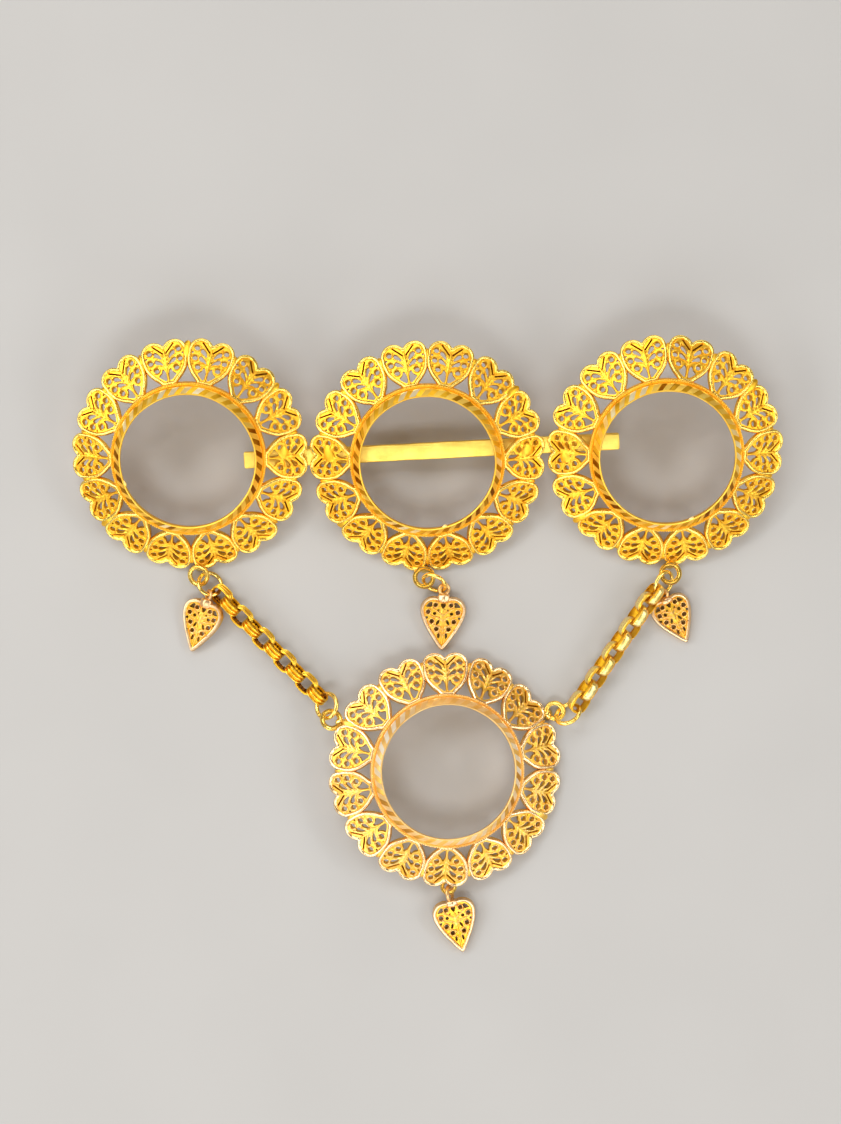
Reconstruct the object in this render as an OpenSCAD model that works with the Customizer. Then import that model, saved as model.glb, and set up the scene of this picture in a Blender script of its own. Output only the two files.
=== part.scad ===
// Coin brooch: three round coin frames in a row on a back bar, with a fourth
// frame hung below on two short chains and a small heart drop under each frame.
// Millimetres. Lying face up: +X to the wearer's left, +Y up the piece, +Z out of its face.

/* [Coin seats] */
// Coin diameter that the seats take
coin_d = 22.05; // [21.8:0.05:22.1]
// Radial play round the coin
seat_play = 0.075; // [0.05:0.005:0.1]
// Radius of the open eye left by the front lip
eye_r = 10.63; // [10.4:0.01:10.8]
// Depth of the seat behind the lip
seat_depth = 2.3; // [1.8:0.1:2.6]
// Outer radius of the seat wall
seat_r = 12.35; // [12.2:0.05:12.5]

/* [Heart petals] */
// Hearts round one frame
hearts = 14; // [14:1:14]
// Outer radius over the heart lobes
rim_r = 18.95; // [18.8:0.05:19.0]
// Slope of the hearts down from the seat to the rim
slope = 28; // [24:1:30]
// Thickness of a heart plate
heart_t = 0.9; // [0.7:0.05:1]
// Sideways place of the centre of a heart lobe
lobe_u = 1.7; // [1.6:0.02:1.74]
// Radius of a heart lobe
lobe_r = 2.02; // [1.9:0.02:2.06]
// Distance of a lobe centre from the heart's middle
lobe_v = 1.63; // [1.5:0.01:1.7]
// Radius of the round piercings
pierce_r = 0.4; // [0.3:0.02:0.44]

/* [Row and bar] */
// Distance between neighbouring frame centres in the row
pitch = 37.97; // [37.95:0.01:38.4]
// Tilt of the row, which lies on its pin fittings and its lower rims
row_tilt = 14; // [12:1:15]
// Length of the back bar
bar_l = 60.3; // [56:0.1:64]
// Width of the back bar
bar_w = 2.75; // [2.4:0.05:3]
// Thickness of the back bar
bar_t = 0.9; // [0.7:0.05:1.1]
// Turn of the bar from the row line
bar_turn = 3; // [0:0.05:4]

/* [Pendant frame] */
// Centre of the pendant frame, right and up from the middle frame
pendant_xy = [2.77, -50.69]; // [-60:0.01:60]
// Sideways tilt of the pendant frame, left rim raised
pendant_tilt = 6; // [4:0.5:7]

/* [Rings and links] */
// Mid radius of the soldered eyelets
eyelet_r = 1.46; // [1.4:0.02:1.5]
// Wire radius of the eyelets
eyelet_w = 0.4; // [0.36:0.02:0.42]
// Mid radius of the upper jump rings
jump_r = 1.92; // [1.9:0.01:1.94]
// Wire radius of the jump rings
jump_w = 0.33; // [0.3:0.01:0.34]
// Mid radius of the rings that end the chains
chain_ring_r = 2.03; // [2:0.01:2.06]
// Wire radius of the rings that end the chains
chain_ring_w = 0.36; // [0.3:0.01:0.38]
// Outer radius of a chain link's round ends
link_r = 1.45; // [1.4:0.01:1.46]
// Inner radius of a chain link's round ends
link_i = 0.95; // [0.93:0.01:1]
// Half length of a chain link's straight sides
link_s = 0.5; // [0.45:0.01:0.52]
// Links in one chain
links = 10; // [10:2:10]

/* [Heart drops] */
// Thickness of a drop plate
drop_t = 1.1; // [0.9:0.1:1.3]
// Distance from a drop's lobes back to the foot of its collar
collar_l = 1.15; // [1:0.05:1.4]

/* [Hidden] */

gold = "#d9a520";
gold_pale = "#e8c46a";
gold_rose = "#e3b483";

// Middle of the whole outline, measured from the middle frame's centre at table height
middle = [0, -30.8];
// Small gap between pieces
gap = 0.05;
eps = 0.01;

// Seat levels above a frame's rim plane
seat_back = 3.2;
lip_under = seat_back + seat_depth;
lip_top = lip_under + 0.7;
shoulder = 4.35;
bore_r = coin_d / 2 + seat_play;

// Heart plate placed so that its lower outer edge rests in the rim plane
reach_v = lobe_v + lobe_r;
heart_z = reach_v * sin(slope);
heart_y = rim_r - reach_v * cos(slope) - heart_t * sin(slope);
tip_v = -3.9;
tip_w = 1.0;

// Tangent point from the corner of the tip to a lobe circle, on the outer side
function tangent(tx, ty, cx, cy, r) =
    let (d = norm([cx - tx, cy - ty]),
         l = sqrt(d * d - r * r),
         a = atan2(cx - tx, cy - ty) + asin(r / d))
    [tx + l * sin(a), ty + l * cos(a)];

module heart_outline(u, v, r, tipw, tipv) {
    t = tangent(tipw, tipv, u, v, r);
    polygon([[-tipw, tipv], [tipw, tipv], t, [u, v], [0, v + r * 0.42], [-u, v], [-t[0], t[1]]]);
    for (s = [-1, 1]) translate([s * u, v]) circle(r = r, $fn = 48);
}

// Full side of a frame heart between its tip and its lobe
petal_side = [[1.55, -3.2], [2.4, -2.35], [3.12, -1.3], [3.42, -0.4], [3.58, 0.5]];

module petal_sides() {
    for (s = [-1, 1])
        polygon(concat([[0, tip_v], [s * tip_w, tip_v]], [for (p = petal_side) [s * p[0], p[1]]], [[s * lobe_u, lobe_v], [0, lobe_v]]));
}

// Piercings of a frame heart: columns are sideways place, outward place, radius
heart_holes = [[2.35, 1.9, 1], [2.37, 0.22, 1], [1.58, -1.17, 0.95]];

module heart_piercing() {
    for (s = [-1, 1]) {
        for (h = heart_holes) translate([s * h[0], h[1]]) circle(r = pierce_r * h[2], $fn = 24);
        translate([s * 1.1, 1.4]) rotate([0, 0, s * -28]) square([1.3, 0.45], center = true);
        translate([s * 1.15, 0.15]) rotate([0, 0, s * -28]) square([1.0, 0.42], center = true);
        polygon([[s * 0.42, -1.75], [s * 0.95, -2.05], [s * 1.05, -2.75], [s * 0.5, -2.95]]);
    }
}

module heart() {
    linear_extrude(height = heart_t) difference() {
        union() {
            heart_outline(lobe_u, lobe_v, lobe_r, tip_w, tip_v);
            petal_sides();
        }
        heart_piercing();
    }
}

// Seat wall: back face, outer wall, diamond-cut slope and front lip, as one turned section
module seat_wall() {
    rotate_extrude($fn = 96)
        polygon([[bore_r, seat_back], [seat_r, seat_back], [seat_r, shoulder],
                 [eye_r + 0.22, lip_top], [eye_r, lip_top - 0.12], [eye_r, lip_under], [bore_r, lip_under]]);
}

module torus(r, w) {
    rotate_extrude($fn = 64) translate([r, 0]) circle(r = w, $fn = 24);
}

// Solder that joins neighbouring hearts where they meet
module solder(i, first) {
    a = first + (i + 0.5) * 360 / hearts;
    w = rim_r - 1.9;
    rotate([0, 0, a]) translate([w - 0.35, 0, (rim_r - w) * tan(slope) + 0.45])
        rotate([0, slope, 0]) cylinder(h = 0.8, r = 0.42, center = true, $fn = 20);
}

// first: angle of the first heart's middle
module coin_frame(first) {
    seat_wall();
    for (i = [0 : hearts - 1])
        rotate([0, 0, first + i * 360 / hearts - 90])
            translate([0, heart_y, heart_z]) rotate([-slope, 0, 0]) heart();
    for (i = [0 : hearts - 1]) solder(i, first);
}

// Places what is drawn from the middle frame's centre into the lying piece
module lying() {
    translate([-middle[0], -middle[1], 0]) children();
}

// The tilted row: its own plane touches the table along the lower rims
module on_row() {
    lying() translate([0, 0, rim_r * sin(row_tilt)]) rotate([row_tilt, 0, 0]) children();
}

// A ring leaning by tilt towards the compass angle lean
module ring_at(p, tilt, lean) {
    translate(p) rotate([0, 0, lean]) rotate([0, tilt, 0]) children();
}

row_at = [[-pitch, 0.1], [0, -0.2], [pitch, 0.65]];

// Eyelets soldered to the row frames: place from the middle frame's centre, tilt, lean
eyelets = [[[-36.95, -19.5, 1.4], 20, -140], [[-0.54, -19.78, 1.75], 0, 0], [[39.2, -19.15, 1.85], 0, 0]];
// Jump rings below them, each through an eyelet, a drop's bail and, on the outer two, a chain
jumps = [[[-35.1, -20.85, 1.4], 31.5, 45], [[1.12, -20.65, 2], 55, -116], [[38.15, -20.7, 1.8], 48, -26]];
// Eyelets of the pendant frame, and the rings that end the chains there
// (place, tilt, lean, mid radius, wire radius, side facing the frame, foot and radius of the solder)
pendant_eyelets = [[[-15.43, -42.61, 3.8], 25, 59, 1.46, 0.42, -23, 3.6, 0.75], [[20.64, -41.34, 1.03], 22, -128, 1.36, 0.4, 208, 0.35, 0.7],
                   [[3.41, -69.6, 2.2], 0, 0, 1, 0.34, 90, 1.9, 0.5]];
chain_rings = [[[-16.2, -40.44, 2.86], 40, 165], [[22.64, -41.74, 2.17], 51, 120]];

module row_frame(i) {
    color(gold) union() {
        on_row() translate([row_at[i][0], row_at[i][1], 0]) coin_frame(0);
        lying() ring_at(eyelets[i][0], eyelets[i][1], eyelets[i][2]) torus(eyelet_r, eyelet_w);
        lying() eyelet_solder(eyelets[i][0], 90, eyelet_r, 0.35, 0.75);
    }
}

// Solder that joins an eyelet to the hearts, on its side facing the frame
module eyelet_solder(p, facing, r, low, w) {
    translate([p[0] + r * cos(facing), p[1] + r * sin(facing), low]) cylinder(h = p[2] - low + 0.2, r = w, $fn = 24);
}

module on_pendant() {
    lying() translate([pendant_xy[0], pendant_xy[1], rim_r * sin(pendant_tilt)])
        rotate([0, pendant_tilt, 0]) children();
}

module frame_pendant() {
    color(gold_rose) union() {
        on_pendant() coin_frame(90);
        lying() for (e = pendant_eyelets) {
            ring_at(e[0], e[1], e[2]) torus(e[3], e[4]);
            eyelet_solder(e[0], e[5], e[3], e[6], e[7]);
        }
    }
}

module back_bar() {
    color(gold_pale) on_row() translate([0.66, 0.5, -bar_t / 2 - gap]) rotate([0, 0, bar_turn])
        cube([bar_l, bar_w, bar_t], center = true);
}

// Hinge post, catch post and pin stem behind the bar, plain and fixed: place along the bar, depth
posts = [[-20.5, 4.28], [20.5, 4.82]];

module brooch_pin() {
    color(gold_pale) on_row() translate([0.66, 0.5, 0]) rotate([0, 0, bar_turn]) {
        for (p = posts)
            translate([p[0] - 1.4, -1.1, -p[1]]) cube([2.8, 2.2, p[1] - bar_t - 2 * gap]);
        translate([-20.5, -0.3, -3.2]) rotate([0, 90, 0]) cylinder(h = 44, r = 0.45, $fn = 24);
        translate([23.5, -0.3, -3.2]) rotate([0, 90, 0]) cylinder(h = 2.5, r1 = 0.45, r2 = 0.1, $fn = 24);
    }
}

module jump_ring(i) {
    color(gold_pale) lying() ring_at(jumps[i][0], jumps[i][1], jumps[i][2]) torus(jump_r, jump_w);
}

module chain_ring(i) {
    color(gold_pale) lying() ring_at(chain_rings[i][0], chain_rings[i][1], chain_rings[i][2]) torus(chain_ring_r, chain_ring_w);
}

// Chains: second link, last link, roll of the second link, from the middle frame's centre
chains = [[[-31.7, -24.3, 1.75], [-17.75, -38.65, 1.75], 120], [[35.3, -23.95, 2.35], [24.5, -39.85, 1.75], 151]];
// First links, held by the jump rings: place, direction of the length, rise, roll
first_links = [[[-33.25, -22.65, 1.56], -43.5, 8, 32], [[36.45, -22.45, 2.15], -127.5, 0, 57]];

// Section of the band of a link, wider outside than inside
module link_section() {
    polygon([[link_i, -0.5], [link_i + 0.1, -0.66], [link_r - 0.15, -0.7], [link_r, -0.42],
             [link_r, 0.42], [link_r - 0.15, 0.7], [link_i + 0.1, 0.66], [link_i, 0.5]]);
}

// Oval link of wide band, long way along X
module chain_link() {
    for (a = [0, 180]) rotate([0, 0, a]) {
        translate([link_s, 0, 0]) rotate([0, 0, -90]) rotate_extrude(angle = 180, $fn = 48) link_section();
        translate([-link_s, 0, 0]) rotate([90, 0, 90]) linear_extrude(height = 2 * link_s) link_section();
    }
}

// Link i of chain c, each turned a quarter from the one before
module place_link(c, i) {
    p = chains[c][0];
    q = chains[c][1];
    f = (i - 1) / (links - 2);
    v = q - p;
    o = first_links[c];
    color(gold) lying()
        if (i == 0) translate(o[0]) rotate([0, 0, o[1]]) rotate([0, -o[2], 0]) rotate([o[3], 0, 0]) chain_link();
        else translate(p + f * v) rotate([0, 0, atan2(v[1], v[0])]) rotate([0, -atan2(v[2], norm([v[0], v[1]])), 0])
            rotate([chains[c][2] + 90 * ((i - 1) % 2), 0, 0]) chain_link();
}

// Side of a drop between its tip and its lobe, for a drop 8.65 long and 7.44 wide
drop_side = [[0.26, 0.1], [0.95, 0.95], [1.62, 1.95], [2.27, 2.9], [2.85, 3.9], [3.3, 4.85], [3.56, 5.6]];
// Its piercings, up from its tip: columns are sideways place, place along, radius
drop_holes = [[1.3, 7.28, 0.29], [2.4, 6.16, 0.31], [1.79, 4.63, 0.31], [0.98, 3.4, 0.3], [1.35, 5.86, 0.26], [2.6, 5.2, 0.2]];

// Drop plate in the XY plane with its tip at the origin, pointing along -Y: place and radius of
// the lobes, length
module drop_plate(u, r, l) {
    k = [(u + r) / 3.72, l / 8.65];
    linear_extrude(height = drop_t) difference() {
        for (s = [-1, 1]) {
            polygon(concat([[0, 0]], [for (p = drop_side) [s * p[0] * k[0], p[1] * k[1]]], [[s * u, l - r], [0, l - r + 1.2]]));
            translate([s * u, l - r]) circle(r = r, $fn = 64);
        }
        for (s = [-1, 1]) {
            for (h = drop_holes) translate([s * h[0] * k[0], h[1] * k[1]]) circle(r = h[2], $fn = 24);
            translate([s * 0.8 * k[0], 4.47 * k[1]]) rotate([0, 0, s * -22]) square([0.26, 0.6], center = true);
            translate([s * 0.62 * k[0], 2.3 * k[1]]) rotate([0, 0, s * 4]) square([0.26, 0.56], center = true);
            polygon([for (p = [[1.86, 7.0], [1.9, 7.7], [2.25, 7.64], [2.78, 6.95], [2.35, 7.0]]) [s * p[0] * k[0], p[1] * k[1]]]);
        }
        polygon([[-0.42 * k[0], 7.45 * k[1]], [0.42 * k[0], 7.45 * k[1]], [0, 6.68 * k[1]]]);
    }
}

// Drops, from the middle frame's centre: place of the bail, direction from tip to bail, turn of the
// bail about the drop's length, mid radius and wire radius of the bail, top of the collar,
// roll of the plate, place and radius of the lobes, length of the plate
drops = [[[-35.25, -22.6, 2.2], 72.7, -56, 0.72, 0.25, 9.02, -14, 1.36, 1.97, 8.5],
         [[2.7, -21.69, 1.62], 87.6, 24, 0.8, 0.29, 9.15, 0, 1.52, 2.2, 8.65],
         [[38.15, -22.45, 0.98], 116.3, -41, 0.75, 0.27, 8, -4, 1.34, 1.95, 8],
         [[3.58, -70.75, 2], 103, 70, 1.15, 0.29, 8.8, 0, 1.43, 2.06, 8.75]];

module drop(i) {
    d = drops[i];
    b = d[0];
    long = d[5] - 0.1 + d[3];
    foot = d[9] - collar_l;
    rise = asin((b[2] - drop_t / 2 - 0.05) / long);
    color(gold_rose) lying() translate(b) rotate([0, 0, d[1] - 90]) rotate([rise, 0, 0])
        translate([0, -long, 0]) {
            translate([0, long, 0]) rotate([0, d[2], 0]) torus(d[3], d[4]);
            rotate([0, d[6], 0]) {
                translate([0, 0, -drop_t / 2]) drop_plate(d[7], d[8], d[9]);
                // Tapered collar, flat on the back
                intersection() {
                    translate([0, foot, 0]) rotate([-90, 0, 0])
                        cylinder(h = d[5] - foot, r1 = 1.1, r2 = 0.85, $fn = 40);
                    translate([-2, foot - 1, -drop_t / 2]) cube([4, 4, 3]);
                }
            }
        }
}

row_frame(0);  // frame_left
row_frame(1);  // frame_center
row_frame(2);  // frame_right
frame_pendant();
back_bar();
brooch_pin();
jump_ring(0);  // jump_ring_left
jump_ring(1);  // jump_ring_center
jump_ring(2);  // jump_ring_right
chain_ring(0);  // chain_ring_left
chain_ring(1);  // chain_ring_right
drop(0);  // drop_left
drop(1);  // drop_center
drop(2);  // drop_right
drop(3);  // drop_pendant
place_link(0, 0);  // link_left_01
place_link(0, 1);  // link_left_02
place_link(0, 2);  // link_left_03
place_link(0, 3);  // link_left_04
place_link(0, 4);  // link_left_05
place_link(0, 5);  // link_left_06
place_link(0, 6);  // link_left_07
place_link(0, 7);  // link_left_08
place_link(0, 8);  // link_left_09
place_link(0, 9);  // link_left_10
place_link(1, 0);  // link_right_01
place_link(1, 1);  // link_right_02
place_link(1, 2);  // link_right_03
place_link(1, 3);  // link_right_04
place_link(1, 4);  // link_right_05
place_link(1, 5);  // link_right_06
place_link(1, 6);  // link_right_07
place_link(1, 7);  // link_right_08
place_link(1, 8);  // link_right_09
place_link(1, 9);  // link_right_10
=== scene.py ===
# Coin brooch of four pierced frames, lying face up on a pale surface.
# Lengths are in millimetres until a mesh is made.
import math

import bpy
import numpy as np
from mathutils import Matrix, Vector
from mathutils.geometry import delaunay_2d_cdt


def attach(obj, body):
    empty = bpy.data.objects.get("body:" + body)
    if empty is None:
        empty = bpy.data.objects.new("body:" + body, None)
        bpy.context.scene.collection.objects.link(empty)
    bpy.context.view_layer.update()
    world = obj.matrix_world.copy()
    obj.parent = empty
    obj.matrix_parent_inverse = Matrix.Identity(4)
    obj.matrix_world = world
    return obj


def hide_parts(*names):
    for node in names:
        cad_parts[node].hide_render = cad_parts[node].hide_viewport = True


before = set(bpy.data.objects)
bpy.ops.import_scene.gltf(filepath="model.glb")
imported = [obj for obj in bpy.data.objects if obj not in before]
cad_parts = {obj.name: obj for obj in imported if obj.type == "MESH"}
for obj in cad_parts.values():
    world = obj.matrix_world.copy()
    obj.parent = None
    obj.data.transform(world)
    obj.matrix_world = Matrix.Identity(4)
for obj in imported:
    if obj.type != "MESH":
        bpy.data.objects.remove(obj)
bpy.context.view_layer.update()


# ---------------------------------------------------------------- placing
def shift(x, y, z=0.0):
    m = np.eye(4)
    m[:3, 3] = (x, y, z)
    return m


def turn(axis, degrees):
    m = np.eye(4)
    m[:3, :3] = np.array(Matrix.Rotation(math.radians(degrees), 3, axis))
    return m


def ring_at(p, tilt, lean):
    return LYING @ shift(*p) @ turn("Z", lean) @ turn("Y", tilt)


def wobble(n, k=0.0):
    """A steady small number from -1 to 1 for piece n."""
    return math.sin(12.9898 * n + 78.233 * k + 4.1) * math.cos(3.7 * n - 1.3 * k)


def sind(a):
    return math.sin(math.radians(a))


def cosd(a):
    return math.cos(math.radians(a))


RIM, SLOPE, HEARTS = 18.95, 28.0, 14
LYING = shift(0, 30.8)
ROW = LYING @ shift(0, 0, RIM * sind(14)) @ turn("X", 14)
PENDANT = LYING @ shift(2.77, -50.69, RIM * sind(6)) @ turn("Y", 6)
ROW_AT = [(-37.97, 0.1), (0.0, -0.2), (37.97, 0.65)]
PLATE = shift(0, 15.305, 1.7136) @ turn("X", -SLOPE)


# ---------------------------------------------------------------- meshes
class Bag:
    """Gathers patches of mesh; tone is 0 in hollows, painted there as shade, about 0.5 on the field and 1 on polished
    edges, painted there with a highlight colour.
    """

    def __init__(self):
        self.v, self.t, self.f, self.n = [], [], [], 0

    def add(self, v, f, m=None, tone=0.6):
        v = np.asarray(v, float)
        if m is not None:
            v = v @ m[:3, :3].T + m[:3, 3]
        self.v.append(v)
        self.t.append(np.broadcast_to(np.asarray(tone, float), (len(v),)))
        for part in f if isinstance(f, (list, tuple)) else [f]:
            if len(part):
                self.f.extend((np.asarray(part, int) + self.n).tolist())
        self.n += len(v)
        return self


PARTS = []


def build(bag, name, material, nodes=(), sharp=38):
    mesh = bpy.data.meshes.new(name)
    mesh.from_pydata((np.concatenate(bag.v) * 0.001).tolist(), [], bag.f)
    tone = mesh.attributes.new("tone", "FLOAT", "POINT")
    tone.data.foreach_set("value", np.concatenate(bag.t).astype(np.float32))
    mesh.materials.append(material)
    mesh.shade_smooth()
    mesh.set_sharp_from_angle(angle=math.radians(sharp))
    obj = bpy.data.objects.new(name, mesh)
    bpy.context.scene.collection.objects.link(obj)
    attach(obj, "root")
    if nodes:
        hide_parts(*nodes)
    PARTS.append(obj)
    return obj


def sheet(rows, cols, close_rows=False, close_cols=False, base=0, flip=False):
    """Quads of a grid whose point (i, j) is base + i * cols + j."""
    i, j = np.meshgrid(
        np.arange(rows if close_rows else rows - 1), np.arange(cols if close_cols else cols - 1), indexing="ij"
    )
    i, j = i.ravel(), j.ravel()
    a, b = base + i * cols + j, base + i * cols + (j + 1) % cols
    c, d = base + (i + 1) % rows * cols + (j + 1) % cols, base + (i + 1) % rows * cols + j
    return np.stack([a, d, c, b] if flip else [a, b, c, d], 1)


def tube(path, section, closed=True, caps=True):
    """Sweeps a closed section (x along side, y along up) down a path of (point, side, up) rows."""
    p, s, u = (np.asarray(q, float) for q in path)
    sec = np.asarray(section, float)
    if sec.ndim == 2:
        sec = np.broadcast_to(sec, (len(p),) + sec.shape)
    v = p[:, None] + sec[..., :1] * s[:, None] + sec[..., 1:2] * u[:, None]
    n, k = v.shape[:2]
    faces = [sheet(n, k, close_rows=closed, close_cols=True)]
    v = v.reshape(-1, 3)
    if not closed and caps:
        ends = np.stack([v[:k].mean(0), v[-k:].mean(0)])
        j = np.arange(k)
        faces.append(np.stack([np.full(k, n * k), (j + 1) % k, j], 1))
        faces.append(np.stack([np.full(k, n * k + 1), (n - 1) * k + j, (n - 1) * k + (j + 1) % k], 1))
        v = np.concatenate([v, ends])
    return v, faces


def hoop(radius, section, n=72, shape=None, turn_by=None):
    """A ring in the XY plane: section x runs outward, y up. shape(a) scales the section, turn_by(a) shifts the radius."""
    a = np.arange(n) * 2 * math.pi / n
    side = np.stack([np.cos(a), np.sin(a), 0 * a], 1)
    up = np.tile([0.0, 0.0, 1.0], (n, 1))
    r = radius + (turn_by(a) if turn_by is not None else 0 * a)
    sec = np.asarray(section, float)[None] * (shape(a)[:, None, None] if shape is not None else np.ones((n, 1, 1)))
    v, f = tube((side * r[:, None], side, up), sec)
    return v, [q[:, ::-1] for q in f]


def circle(r, n, cx=0.0, cy=0.0, squash=1.0):
    a = np.arange(n) * 2 * math.pi / n
    return np.stack([cx + r * np.cos(a), cy + r * squash * np.sin(a)], 1)


def dome(ax, ay, az, n=20, k=9, rough=0.0, seed=0.0, floor=-0.6):
    """A blob with half sizes ax, ay, az, cut off flat below floor * az."""
    b = np.linspace(math.asin(floor), math.pi / 2, k)[:-1]
    a = np.arange(n) * 2 * math.pi / n
    bb, aa = np.meshgrid(b, a, indexing="ij")
    r = 1 + rough * (np.sin(2 * aa + seed) * 0.6 + np.sin(3 * aa - 1.7 * seed) * 0.4) * np.cos(bb)
    v = np.stack([ax * np.cos(bb) * np.cos(aa) * r, ay * np.cos(bb) * np.sin(aa) * r, az * np.sin(bb)], 2)
    rows = len(b)
    v = np.concatenate([v.reshape(-1, 3), [[0, 0, az], [0, 0, az * floor]]])
    j = np.arange(n)
    f = [sheet(rows, n, close_cols=True)]
    f.append(np.stack([(rows - 1) * n + j, (rows - 1) * n + (j + 1) % n, np.full(n, rows * n)], 1))
    f.append(np.stack([(j + 1) % n, j, np.full(n, rows * n + 1)], 1))
    return v, f


# ---------------------------------------------------------------- flat shapes
def inside(p, loop):
    a, b = loop, np.roll(loop, -1, 0)
    x, y = p[:, :1], p[:, 1:2]
    over = (a[:, 1] > y) != (b[:, 1] > y)
    cross = (b[:, 0] - a[:, 0]) * (y - a[:, 1]) / (b[:, 1] - a[:, 1] + 1e-12) + a[:, 0]
    return (over & (x < cross)).sum(1) % 2 == 1


def away(p, a, b):
    """Distance from each point to the nearest of the segments a-b."""
    d = b - a
    t = np.clip(((p[:, None] - a) * d).sum(2) / np.maximum((d * d).sum(1), 1e-12), 0, 1)
    return np.sqrt((((a + t[..., None] * d) - p[:, None]) ** 2).sum(2)).min(1)


def from_loop(p, loop):
    return away(p, loop, np.roll(loop, -1, 0))


def from_line(p, line):
    line = np.asarray(line, float)
    return away(p, line[:-1], line[1:])


def area(loop):
    x, y = loop[:, 0], loop[:, 1]
    return 0.5 * (x * np.roll(y, -1) - np.roll(x, -1) * y).sum()


def wound(loop, ccw):
    return loop if (area(loop) > 0) == ccw else loop[::-1]


def soften(points, rounds=2):
    p = np.asarray(points, float)
    for _ in range(rounds):
        q = np.roll(p, -1, 0)
        p = np.stack([0.78 * p + 0.22 * q, 0.22 * p + 0.78 * q], 1).reshape(-1, 2)
    return p


def even(loop, step):
    """The same closed loop with its points about a step apart."""
    q = np.vstack([loop, loop[:1]])
    d = np.r_[0, np.cumsum(np.hypot(*np.diff(q, axis=0).T))]
    n = max(8, int(round(d[-1] / step)))
    s = np.arange(n) * d[-1] / n
    return np.stack([np.interp(s, d, q[:, 0]), np.interp(s, d, q[:, 1])], 1)


def both(points):
    p = np.asarray(points, float)
    return [p, p * (-1, 1)]


def inward(loop, d):
    """Points at distance d to the left of a loop, where they are no nearer to it than that."""
    t = np.roll(loop, -1, 0) - np.roll(loop, 1, 0)
    t /= np.hypot(*t.T)[:, None] + 1e-12
    p = loop + d * np.stack([-t[:, 1], t[:, 0]], 1)
    return p[from_loop(p, loop) > d * 0.97]


def filled(loops, points):
    """Triangles between the loops, the first being the outline; the loops' own points come first."""
    co = np.vstack(loops + ([points] if len(points) else []))
    edges, n = [], 0
    for loop in loops:
        k = len(loop)
        edges += [(n + i, n + (i + 1) % k) for i in range(k)]
        n += k
    out = delaunay_2d_cdt([Vector(c) for c in co], edges, [], 0, 1e-7)
    place = np.zeros(len(co), int)
    for i, origin in enumerate(out[3]):
        for o in origin:
            place[o] = i
    xy = np.array([list(c) for c in out[0]])
    tri = np.array([list(f) for f in out[2]])
    mid = xy[tri].mean(1)
    keep = inside(mid, loops[0])
    for loop in loops[1:]:
        keep &= ~inside(mid, loop)
    tri = tri[keep]
    a, b, c = (xy[tri[:, i]] for i in range(3))
    back = (b[:, 0] - a[:, 0]) * (c[:, 1] - a[:, 1]) - (b[:, 1] - a[:, 1]) * (c[:, 0] - a[:, 0]) < 0
    tri[back] = tri[back][:, ::-1]
    return xy, tri, place


def plate(outline, holes, height, grid, rows, under=0.0, spacing=0.62):
    """A pierced plate: height(points) gives the top, rows are extra points tried in turn before an even grid."""
    loops = [wound(outline, True)] + [wound(h, False) for h in holes]
    taken, cells = [], {}

    def free(p, r):
        cx, cy = int(math.floor(p[0] / 0.2)), int(math.floor(p[1] / 0.2))
        for x in (cx - 1, cx, cx + 1):
            for y in (cy - 1, cy, cy + 1):
                for q in cells.get((x, y), ()):
                    if (q[0] - p[0]) ** 2 + (q[1] - p[1]) ** 2 < r * r:
                        return False
        return True

    def put(p):
        cells.setdefault((int(math.floor(p[0] / 0.2)), int(math.floor(p[1] / 0.2))), []).append(p)

    for loop in loops:
        for p in loop:
            put(p)
    lo, hi = loops[0].min(0), loops[0].max(0)
    gx, gy = np.meshgrid(np.arange(lo[0], hi[0], grid), np.arange(lo[1], hi[1], grid * 0.866))
    gx = gx + (np.arange(gy.shape[0]) % 2)[:, None] * grid / 2
    tries = [(r, 0.055) for r in rows] + [(np.stack([gx.ravel(), gy.ravel()], 1), grid * spacing)]
    for points, r in tries:
        ok = inside(points, loops[0]) & (from_loop(points, loops[0]) > 0.04)
        for h in loops[1:]:
            ok &= ~inside(points, h) & (from_loop(points, h) > 0.04)
        for p in points[ok]:
            if free(p, r):
                put(p)
                taken.append(p)
    xy, tri, place = filled(loops, np.array(taken))
    z, tone = height(xy)
    n = sum(len(l) for l in loops)
    flat, under_tri, under_place = filled(loops, np.zeros((0, 2)))
    v = np.vstack([np.c_[xy, z], np.c_[flat, np.full(len(flat), under)]])
    walls, k = [], 0
    for loop in loops:
        i = np.arange(k, k + len(loop))
        j = np.roll(i, -1)
        k += len(loop)
        ti, tj, bi, bj = place[i], place[j], under_place[i] + len(xy), under_place[j] + len(xy)
        walls.append(np.stack([bi, bj, tj, ti], 1))
    faces = [tri, under_tri[:, ::-1] + len(xy)] + walls
    # the underside takes a low tone, a painted shade under the plate
    tone = np.r_[tone, np.full(len(flat), 0.25)]
    return v, faces, tone


def tangent(tx, ty, cx, cy, r):
    d = math.hypot(cx - tx, cy - ty)
    run = math.sqrt(d * d - r * r)
    a = math.atan2(cx - tx, cy - ty) + math.asin(r / d)
    return tx + run * math.sin(a), ty + run * math.cos(a)


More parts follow.
